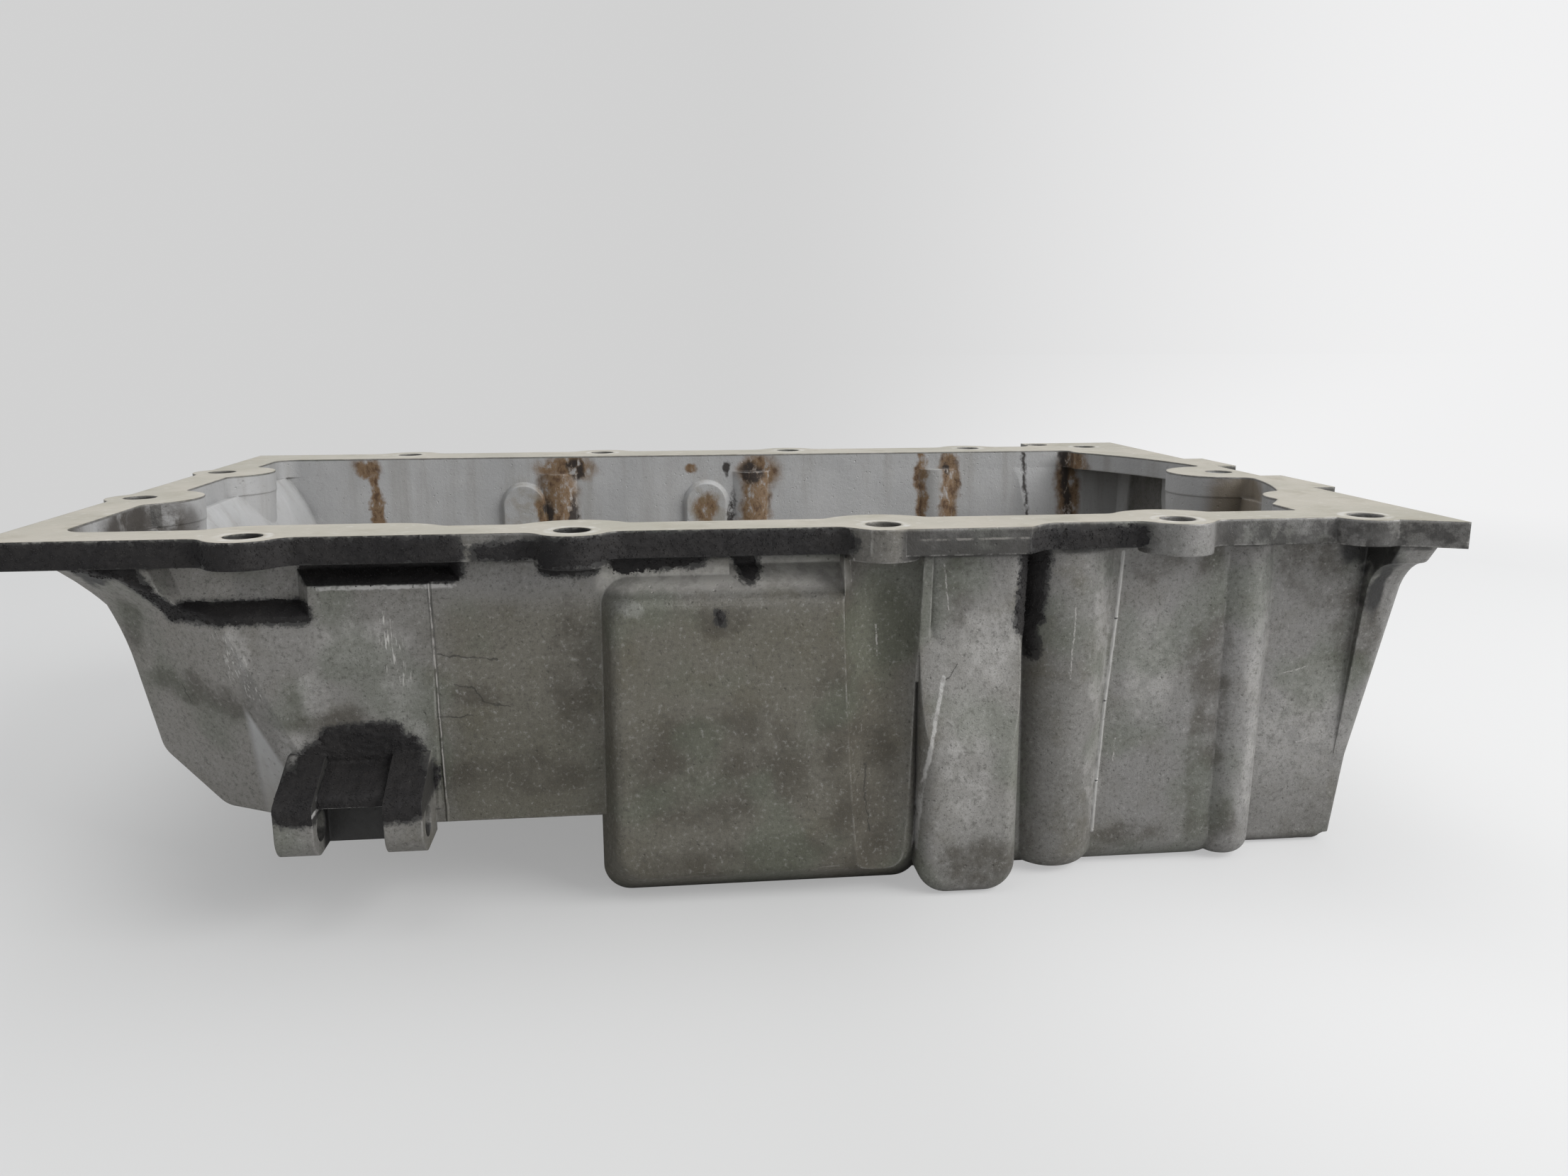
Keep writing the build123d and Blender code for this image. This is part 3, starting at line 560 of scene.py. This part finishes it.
class Casting(Paint):
    """The casting's paint, with the clouds, places and masks that its coats share."""

    def __init__(self):
        super().__init__("cast_aluminium")
        self.broad = self.cloud(48, detail=4.0, rough=0.62)
        self.patchy = self.cloud(13, detail=5.0, rough=0.62, at=(3, 1, 7))
        self.mottled = self.cloud(4.2, detail=4.0, rough=0.65, at=(8, 2, 4))
        self.grainy = self.cloud(1.3, detail=4.0, rough=0.72)
        self.gritty = self.cloud(0.4, detail=2.0, rough=0.6)
        self.upright = self.cloud(9, detail=4.0, rough=0.62, stretch=(1, 1, 0.1))
        self.wander = self.cloud(6, detail=4.0, rough=0.62, at=(11, 5, 2)) - 0.5
        self.wobble = self.cloud(1.7, detail=2.0, at=(1, 6, 9)) - 0.5
        normal = self.add("ShaderNodeTexCoord", {}, output="Normal")
        facing = self.node("ShaderNodeSeparateXYZ", {}, normal)
        self.up, farwards = Wire(self, facing.outputs["Z"]), Wire(self, facing.outputs["Y"])
        tub_top = self.vector("ADD", self.place, (120, 0, 5))
        outward = self.vector("DOT_PRODUCT", normal, tub_top, output="Value")
        self.outer_front = outward.step(-0.5, 0.5) * self.x.step(-131, -134)
        self.near = self.y.step(-96, -100).or_(self.outer_front * self.y.step(-50, -62))
        self.soft_normal, bend = bend_of(self, 0.9)
        around = self.add("ShaderNodeAmbientOcclusion", {"samples": 5}, Distance=7 * MM, output="AO")
        self.hollow = 1.0 - around
        self.ridge = bend.step(0.004, 0.06) * self.hollow.step(0.42, 0.2)
        self.loose = self.warped(7.0, 4.0, at=(11, 5, 2))
        self.close = self.warped(1.8, 0.45, at=(1, 6, 9), detail=1.0)
        self.cracked = self.warped(2.4, 1.0, at=(4, 4, 4), detail=2.0)
        self.inside = self.inside_of_tub(farwards)
        self.outside_near = self.near * (1.0 - self.inside)

    def inside_of_tub(self, farwards):
        """1 on the inside of the tub. farwards is how far a face looks towards the far wall."""
        slant = self.z.size() * 0.114
        inside = (
            (self.y + 104.5 - self.x.step(84, 90) * slant).step(0.0, 1.0)
            * (self.y - 99.5).step(0.0, -1.0)
            * self.x.step(-178, -177)
            * (self.x - 198.5 + slant).step(0.0, -1.0)
            * self.z.step(-0.4, -0.8)
            * (1.0 - self.outer_front)
        )
        behind_near_wall = farwards.step(0.25, 0.45) * self.y.step(-96, -100)
        behind_near_wall = behind_near_wall * self.z.within(-101, -10.4, 0.2)
        return inside.or_(behind_near_wall)


def cast_skin(p):
    """Grey that drifts from warm to olive, with dark smudges, worn pale places, speckle and rub marks."""
    skin = p.blend(p.broad.step(0.35, 0.65), (0.150, 0.145, 0.134), (0.205, 0.199, 0.189))
    skin = p.blend(p.patchy.step(0.46, 0.7) * 0.55, skin, (0.103, 0.094, 0.070))
    skin = p.blend(p.mottled.step(0.55, 0.75) * 0.35, skin, (0.090, 0.086, 0.074))

    # Each form on the near side has its own tone.
    band_x = p.x + p.wander * 7.0
    olive = band_x.within(-80, 50, 9) * p.near * p.z.step(-14, -26)
    below_parting = band_x.within(-80, -42, 8) * p.near * p.z.step(-40, -62)
    skin = p.blend(below_parting * 0.5, skin, (0.070, 0.072, 0.064))
    skin = p.blend(olive * 0.62, skin, (0.100, 0.090, 0.060))
    skin = p.blend(band_x.within(28, 50, 8) * p.near * 0.4, skin, (0.088, 0.076, 0.054))
    pale_slab = band_x.within(57, 82, 4) * p.near * (p.z + p.x * 0.25).step(-4, -20) * p.z.step(-100, -84)
    skin = p.blend(pale_slab * 0.5, skin, (0.27, 0.262, 0.245))
    skin = p.blend(band_x.within(113, 202, 5) * p.near * 0.4, skin, (0.25, 0.245, 0.242))
    skin = p.blend(band_x.step(-80, -90) * p.near * 0.35, skin, (0.225, 0.216, 0.200))
    skin = p.blend(p.outer_front * p.near * 0.6, skin, (0.27, 0.258, 0.236))

    # Dark smudges, and painted shade down the left flank of the column near x 142, in the channel near x
    # -44 and in the web corner at the gearbox end.
    smudge_and_shade = p.spots(p.loose, SMUDGES_AND_SHADE) * p.outside_near * (0.2 + 0.8 * p.patchy.step(0.35, 0.6))
    skin = p.blend(smudge_and_shade * 0.66, skin, (0.052, 0.045, 0.034))
    # Worn pale places, and painted highlights on the columns' lit right flanks.
    rubbed_and_lit = p.spots(p.loose, PALE_AND_LIT) * p.outside_near * (0.3 + 0.7 * p.mottled.step(0.4, 0.6))
    skin = p.blend(rubbed_and_lit * 0.6, skin, (0.36, 0.35, 0.335))
    green = p.cloud(30, detail=2.0, at=(7, 7, 1)).step(0.5, 0.65)
    skin = p.blend(green * 0.4, skin, (0.105, 0.122, 0.088))
    skin = p.blend(p.grainy.step(0.5, 0.72) * 0.6, skin, (0.062, 0.058, 0.050))
    skin = p.blend(p.grainy.step(0.46, 0.24) * 0.5, skin, (0.36, 0.355, 0.34))
    skin = p.blend(p.gritty.step(0.58, 0.7) * 0.6, skin, (0.045, 0.042, 0.036))
    skin = p.blend(p.gritty.step(0.38, 0.26) * 0.2, skin, (0.30, 0.29, 0.27))

    # Fine bright streaks where something has rubbed along the corner facet and the wall.
    lay = p.spread((1 / 0.55, 1 / 0.55, 1 / 4.5), turn=(0, math.radians(-28), 0))
    streaky = p.add("ShaderNodeTexNoise", {}, Vector=lay, Scale=1.0, Detail=2.0)
    streaks = p.strips(p.loose, STREAKED).step(1.0, -1.5) * streaky.step(0.56, 0.66) * p.outside_near
    return p.blend(streaks * 0.8, skin, (0.5, 0.485, 0.46))


def inner_metal(p):
    """Cleaner metal inside, with a brown film low down and burnt runs on the far wall."""
    inner = p.blend(p.broad.step(0.3, 0.7), (0.325, 0.326, 0.326), (0.39, 0.388, 0.386))
    inner = p.blend(p.upright.step(0.45, 0.72) * 0.4, inner, (0.21, 0.20, 0.175))
    inner = p.blend(p.upright.step(0.4, 0.25) * 0.4, inner, (0.42, 0.42, 0.425))
    inner = p.blend(p.grainy.step(0.55, 0.8) * 0.4, inner, (0.13, 0.125, 0.11))
    inner = p.blend((p.z + p.broad * 30).step(-34, -82) * 0.5, inner, (0.165, 0.13, 0.08))

    far = p.y.step(70, 82)
    run_x = p.x + p.z * 0.1 + p.wander * 6 + (p.upright - 0.5) * 3.5
    burnt = p.cloud(3.4, detail=5.0, rough=0.7, stretch=(1, 1, 0.6), at=(2, 9, 4))
    brown = p.spots(p.loose, BROWN) * far
    inner = p.blend(brown * burnt.step(0.28, 0.5) * 0.92, inner, (0.155, 0.088, 0.034))
    inner = p.blend(brown * burnt.step(0.5, 0.66) * 0.85, inner, (0.058, 0.027, 0.012))
    pads = p.spots(p.place, PADS) * far
    inner = p.blend(pads * p.mottled.step(0.4, 0.6) * 0.3, inner, (0.17, 0.135, 0.07))
    black = p.spots(p.loose, BLACK).or_(stripe(run_x, BLACK_RUNS)) * far
    inner = p.blend(black * burnt.step(0.36, 0.5) * 0.95, inner, (0.016, 0.011, 0.009))

    front = p.spots(p.loose, FRONT_GRIME, axes="YZ")
    front = front * p.x.step(-150, -162) * (0.35 + 0.65 * p.patchy.step(0.36, 0.52))
    inner = p.blend(front * 0.9, inner, (0.030, 0.023, 0.017))
    rear = p.spots(p.loose, REAR_GRIME, axes="YZ") * p.x.step(180, 186)
    return p.blend(rear * 0.7, inner, (0.13, 0.09, 0.04))


def milled_metal(p, lanes):
    """The gasket face: cutter lanes, stains, and rings where the bolts' bosses pressed."""
    milled = p.blend(p.broad.step(0.3, 0.7), (0.345, 0.325, 0.262), (0.44, 0.405, 0.34))
    milled = p.blend(lanes * 0.12, milled, (0.36, 0.345, 0.31))
    milled = p.blend(p.patchy.step(0.5, 0.7) * 0.5, milled, (0.27, 0.245, 0.185))
    milled = p.blend(p.mottled.step(0.56, 0.7) * 0.4, milled, (0.58, 0.56, 0.52))
    milled = p.blend(p.grainy.step(0.58, 0.74) * 0.45, milled, (0.17, 0.15, 0.115))
    rings = None
    for bolt_x in BOLT_X:
        along = p.x - bolt_x
        across = p.y.size() - BOLT_Y
        ring = ((along * along + across * across) ** 0.5 - 6.6).size().step(1.3, 0.5)
        rings = ring if rings is None else rings.or_(ring)
    return p.blend(rings * p.mottled.step(0.35, 0.6) * 0.45, milled, (0.66, 0.65, 0.63))


def casting_material():
    p = Casting()
    skin = p.blend(p.inside, cast_skin(p), inner_metal(p))

    # Painted shade in every hollow, read from ambient occlusion and mixed with dirt, and oily dirt on
    # ledges that face up outside.
    hollow_shade_and_dirt = (p.hollow + (p.patchy - 0.5) * 0.6).step(0.34, 0.8)
    skin = p.blend(hollow_shade_and_dirt * (0.7 - p.near * 0.4), skin, (0.03, 0.027, 0.022))
    # Painted highlight: the box's shoulder is lightened where light from above falls on it.
    painted_shoulder_light = p.x.within(-36, 33, 2) * p.z.within(-17.5, -10.5, 1.5) * p.near
    painted_shoulder_light = painted_shoulder_light * (0.6 + 0.4 * p.mottled.step(0.4, 0.6))
    skin = p.blend(painted_shoulder_light * 0.8, skin, (0.42, 0.405, 0.375))
    ledge = (p.up + (p.grainy - 0.5) * 0.3).step(0.3, 0.6) * (1.0 - p.inside) * p.z.step(-1.0, -2.0)
    ledge = ledge * (1.0 - p.x.within(-40, 60, 2))
    grime = ledge * p.patchy.step(0.25, 0.5)

    # Oily dark film on the flange's edge, thinner where it has been wiped.
    rim = p.z.within(-9.3, -0.6, 0.5) * (1.0 - p.inside)
    wiped = stripe(p.x + p.wander * 4, WIPED_RIM) * p.near
    cover = 0.5 + 0.5 * p.patchy.step(0.36, 0.56)
    cover = cover * (1.0 - p.near * p.x.step(132, 150) * p.mottled.step(0.45, 0.62) * 0.55)
    rim_film = rim * (1.0 - wiped * 0.8) * cover
    skin = p.blend(rim_film * 0.9, skin, (0.020, 0.018, 0.016))
    rim_line = (p.z + 3.1 + p.wobble * 0.5).size().step(0.42, 0.15)
    rim_line = rim_line * stripe(p.x, RIM_LINES) * p.near * p.mottled.step(0.4, 0.55)
    skin = p.blend(rim_line * 0.35, skin, (0.36, 0.34, 0.31))

    # Halo of dust and soot round the baked crust, painted shade in the gap between the clevis ears, and
    # painted shade in the web corner at the gearbox end.
    edge = p.strips(p.warped(2.6, 1.2, at=(2, 2, 8)), CRUST) + (p.grainy - 0.5) * 5.0
    ear_gap_shade = p.x.within(-111.4, -92.6, 0.4) * p.z.step(-69, -72) * p.y.step(-119, -116)
    halo_and_shade = (edge.step(1.5, 0.1) * 0.95).or_(ear_gap_shade).or_(p.spots(p.loose, SOOT_AND_SHADE)) * p.near * (1.0 - p.inside)
    skin = p.blend(halo_and_shade * 0.94, skin, (0.0085, 0.0078, 0.0076))

    # Hairline cracks, scratches, the parting line as a painted highlight with painted shade beside it,
    # painted highlights along lit ledges and down the flash bead, and edges rubbed bright.
    cracks = p.lines(p.cracked, 0.27, HAIRLINES) * p.outside_near
    skin = p.blend(cracks * p.mottled.step(0.3, 0.5) * 0.7, skin, (0.03, 0.028, 0.024))
    scratched = p.lines(p.close, 0.3, SCRATCHES) * p.outside_near * p.grainy.step(0.42, 0.55)
    skin = p.blend(scratched * 0.5, skin, (0.5, 0.48, 0.46))
    # Painted highlights along lit ledges and down the flash bead.
    painted_highlight = p.lines(p.close, 0.8, HIGHLIGHT_LINES) * p.outside_near * p.mottled.step(0.34, 0.55)
    painted_highlight = painted_highlight.or_(p.lines(p.place, 0.75, (BEAD,)) * p.near * p.patchy.step(0.3, 0.44))
    skin = p.blend(painted_highlight * 0.7, skin, (0.50, 0.49, 0.475))
    seam = p.x - PARTING_X + (p.z + 6) * 0.014 + p.wander * 0.5
    seam_run = p.near * p.z.within(-76, -8, 1)
    # Painted shade beside the parting line's fin.
    shade = (seam - 0.35).size().step(0.4, 0.12) * seam_run * 0.55
    skin = p.blend(shade, skin, (0.03, 0.028, 0.025))
    # Painted highlight along the parting line's fin.
    seam_highlight = seam.size().step(0.28, 0.08) * seam_run * p.mottled.step(0.38, 0.55) * 0.7
    skin = p.blend(seam_highlight, skin, (0.42, 0.40, 0.38))
    worn = p.ridge * (p.mottled + p.grainy * 0.6).step(0.72, 1.0) * (1.0 - halo_and_shade)
    skin = p.blend(worn * 0.6, skin, (0.42, 0.41, 0.39))
    skin = p.blend(grime * 0.9, skin, (0.012, 0.0115, 0.011))

    face = p.z.step(-0.12, -0.04)
    lanes = p.add(
        "ShaderNodeTexWave", {"wave_type": "RINGS", "rings_direction": "Z"},
        p.spread((0.012, 0.012, 0), at=(0, -2.6, 0)),
        Scale=18.0, Distortion=0.4, Detail=2.0,
    )
    colour = p.blend(face, skin, milled_metal(p, lanes))

    film = halo_and_shade.or_(rim_film).or_(grime)
    rough_skin = 0.56 + (p.patchy - 0.5) * 0.25 - worn * 0.1 + (p.grainy - 0.5) * 0.2
    rough = rough_skin * (1.0 - face) + face * (0.42 + (p.patchy - 0.5) * 0.15)
    metal = (0.36 + worn * 0.3 + painted_highlight * 0.3) * (1.0 - film) * (1.0 - hollow_shade_and_dirt * 0.7) * (1.0 - p.inside * 0.55)
    metal = metal * (1.0 - face) + face * 0.3
    pits = p.cells(2.4, at=(5, 2, 1)).step(0.22, 0.05) * p.grainy.step(0.45, 0.6)
    height = p.grainy * 0.4 + p.gritty * 0.25 + p.mottled * 0.35 + p.patchy * 0.6 - pits * 0.6
    height = height + (seam.size() - 0.6).step(0.0, -0.6) * p.near
    height = height * (1.0 - face) + face * lanes * 0.06
    return p.finish(colour, rough, metal, bump=height, relief=0.3, normal=p.soft_normal)


def crust_material():
    p = Paint("baked_grime")
    lumps = p.cloud(1.3, detail=5.0, rough=0.7)
    broad = p.cloud(11, detail=3.0)
    dust = p.cloud(2.6, detail=5.0, rough=0.72, at=(3, 8, 1))
    specks = p.cloud(0.5, detail=2.0, rough=0.6, at=(1, 4, 2))
    colour = p.blend(broad.step(0.35, 0.7), (0.0128, 0.0118, 0.0121), (0.022, 0.0202, 0.0197))
    colour = p.blend(dust.step(0.55, 0.8) * 0.5, colour, (0.030, 0.027, 0.023))
    colour = p.blend(specks.step(0.62, 0.72) * 0.5, colour, (0.050, 0.046, 0.040))
    rough = 0.62 + (dust - 0.5) * 0.5
    return p.finish(colour, rough, 0.0, bump=lumps, relief=0.4, gloss=0.22)


def steel_material():
    p = Paint("plug_steel")
    patchy = p.cloud(6, detail=4.0, rough=0.6)
    fine = p.cloud(0.8, detail=3.0, rough=0.6)
    soft, bend = bend_of(p, 0.5)
    worn = bend.step(0.005, 0.08) * fine.step(0.3, 0.55)
    colour = p.blend(patchy.step(0.35, 0.65), (0.26, 0.245, 0.21), (0.36, 0.35, 0.32))
    colour = p.blend(patchy.step(0.6, 0.75) * 0.6, colour, (0.10, 0.07, 0.045))
    colour = p.blend(worn * 0.8, colour, (0.6, 0.59, 0.57))
    rough = 0.42 + (fine - 0.5) * 0.3
    return p.finish(colour, rough, 0.8, bump=fine + patchy, relief=0.06, normal=soft)


def washer_material():
    p = Paint("washer_aluminium")
    patchy = p.cloud(4, detail=4.0, rough=0.6)
    fine = p.cloud(0.6, detail=3.0, rough=0.6)
    colour = p.blend(patchy.step(0.35, 0.65), (0.40, 0.395, 0.38), (0.52, 0.515, 0.50))
    colour = p.blend(fine.step(0.6, 0.75) * 0.5, colour, (0.16, 0.15, 0.13))
    return p.finish(colour, 0.4 + (fine - 0.5) * 0.25, 0.7, bump=fine, relief=0.05)


def dress(node, material):
    """Gives a CAD node its material, in every slot it has."""
    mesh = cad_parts[node].data
    if not mesh.materials:
        mesh.materials.append(material)
    for index in range(len(mesh.materials)):
        mesh.materials[index] = material


# --- Studio -----------------------------------------------------------------------------------------
FLOOR_Z = -0.1075
FLOOR_HALF = 12.0
FLOOR_FADE = 380, 1000  # millimetres from the middle, where the floor fades into the backdrop
FLOOR_VEIL = 0.48  # the camera sees at least this share of backdrop in the floor
BACKDROP = (0.64, 0.64, 0.64), (0.88, 0.88, 0.885)  # left and right
BRIGHTER_RIGHT = 0.05, 0.62  # sideways directions between which the backdrop brightens


def add_floor():
    """Pale floor that fades into the pale surroundings far from the part."""
    built = bmesh.new()
    bmesh.ops.create_grid(built, x_segments=1, y_segments=1, size=FLOOR_HALF)
    mesh = bpy.data.meshes.new("floor")
    built.to_mesh(mesh)
    built.free()
    mesh.transform(Matrix.Translation((0, 0, FLOOR_Z)))
    floor = bpy.data.objects.new("floor", mesh)
    scene.collection.objects.link(floor)
    p = Paint("floor_paper")
    spread = p.vector("LENGTH", p.place, output="Value")
    far = spread.step(*FLOOR_FADE).or_(FLOOR_VEIL)
    rightwards = (p.x / spread.or_(1.0)).step(*BRIGHTER_RIGHT)
    lit = p.node("ShaderNodeBsdfPrincipled", {}, Base_Color=(0.54, 0.54, 0.535), Roughness=0.75)
    flat = p.node("ShaderNodeEmission", {}, p.blend(rightwards, *BACKDROP), 1.0)
    both = p.tree.nodes.new("ShaderNodeMixShader")
    seen = p.add("ShaderNodeLightPath", {}, output="Is Camera Ray")
    p.tree.links.new((far * seen).socket, both.inputs[0])
    p.tree.links.new(lit.outputs[0], both.inputs[1])
    p.tree.links.new(flat.outputs[0], both.inputs[2])
    output = p.tree.nodes.new("ShaderNodeOutputMaterial")
    p.tree.links.new(both.outputs[0], output.inputs[0])
    mesh.materials.append(p.material)


def add_world():
    """Pale surroundings: a backdrop for the camera, and an even fill that lights the part."""
    world = bpy.data.worlds.new("studio")
    world.use_nodes = True
    tree = world.node_tree
    tree.nodes.clear()
    fill = tree.nodes.new("ShaderNodeBackground")
    fill.inputs[0].default_value = (0.95, 0.97, 1.0, 1.0)
    fill.inputs[1].default_value = 0.55
    seen = tree.nodes.new("ShaderNodeBackground")
    way = tree.nodes.new("ShaderNodeTexCoord")
    parts = tree.nodes.new("ShaderNodeSeparateXYZ")
    rightwards = tree.nodes.new("ShaderNodeMapRange")
    rightwards.interpolation_type = "SMOOTHSTEP"
    rightwards.inputs[1].default_value, rightwards.inputs[2].default_value = BRIGHTER_RIGHT
    shade = tree.nodes.new("ShaderNodeMix")
    shade.data_type = "RGBA"
    shade.inputs[6].default_value, shade.inputs[7].default_value = ((*colour, 1.0) for colour in BACKDROP)
    tree.links.new(way.outputs["Generated"], parts.inputs[0])
    tree.links.new(parts.outputs["X"], rightwards.inputs[0])
    tree.links.new(rightwards.outputs[0], shade.inputs[0])
    tree.links.new(shade.outputs[2], seen.inputs[0])
    path = tree.nodes.new("ShaderNodeLightPath")
    mix = tree.nodes.new("ShaderNodeMixShader")
    output = tree.nodes.new("ShaderNodeOutputWorld")
    tree.links.new(path.outputs["Is Camera Ray"], mix.inputs[0])
    tree.links.new(fill.outputs[0], mix.inputs[1])
    tree.links.new(seen.outputs[0], mix.inputs[2])
    tree.links.new(mix.outputs[0], output.inputs[0])
    scene.world = world


def add_lamp(name, place, aim, size, watts):
    """Soft square lamp."""
    light = bpy.data.lights.new(name, "AREA")
    light.shape = "SQUARE"
    light.size = size
    light.energy = watts
    lamp = bpy.data.objects.new(name, light)
    scene.collection.objects.link(lamp)
    lamp.location = place
    lamp.rotation_euler = (Vector(aim) - Vector(place)).to_track_quat("-Z", "Y").to_euler()


scene.view_settings.view_transform = "Standard"
add_camera()
add_world()
add_floor()
add_lamp("lamp_right", (1.2, -0.7, 0.8), (0.0, 0.0, -0.05), 1.1, 27.0)
add_lamp("lamp_top", (-0.2, 0.3, 1.5), (0.0, 0.0, -0.05), 1.4, 16.0)

casting = casting_material()
baked = crust_material()
dress("oil_pan", casting)
dress("drain_plug", steel_material())
dress("drain_plug_washer", washer_material())
pan_skin = skin_tree(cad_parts["oil_pan"])
sheet = crust_mesh(pan_skin)
link("grime_crust", sheet, baked)
link("grime_crumbs", crumb_mesh(sheet, baked), baked)
link("flash_bead", bead_mesh(pan_skin), casting)
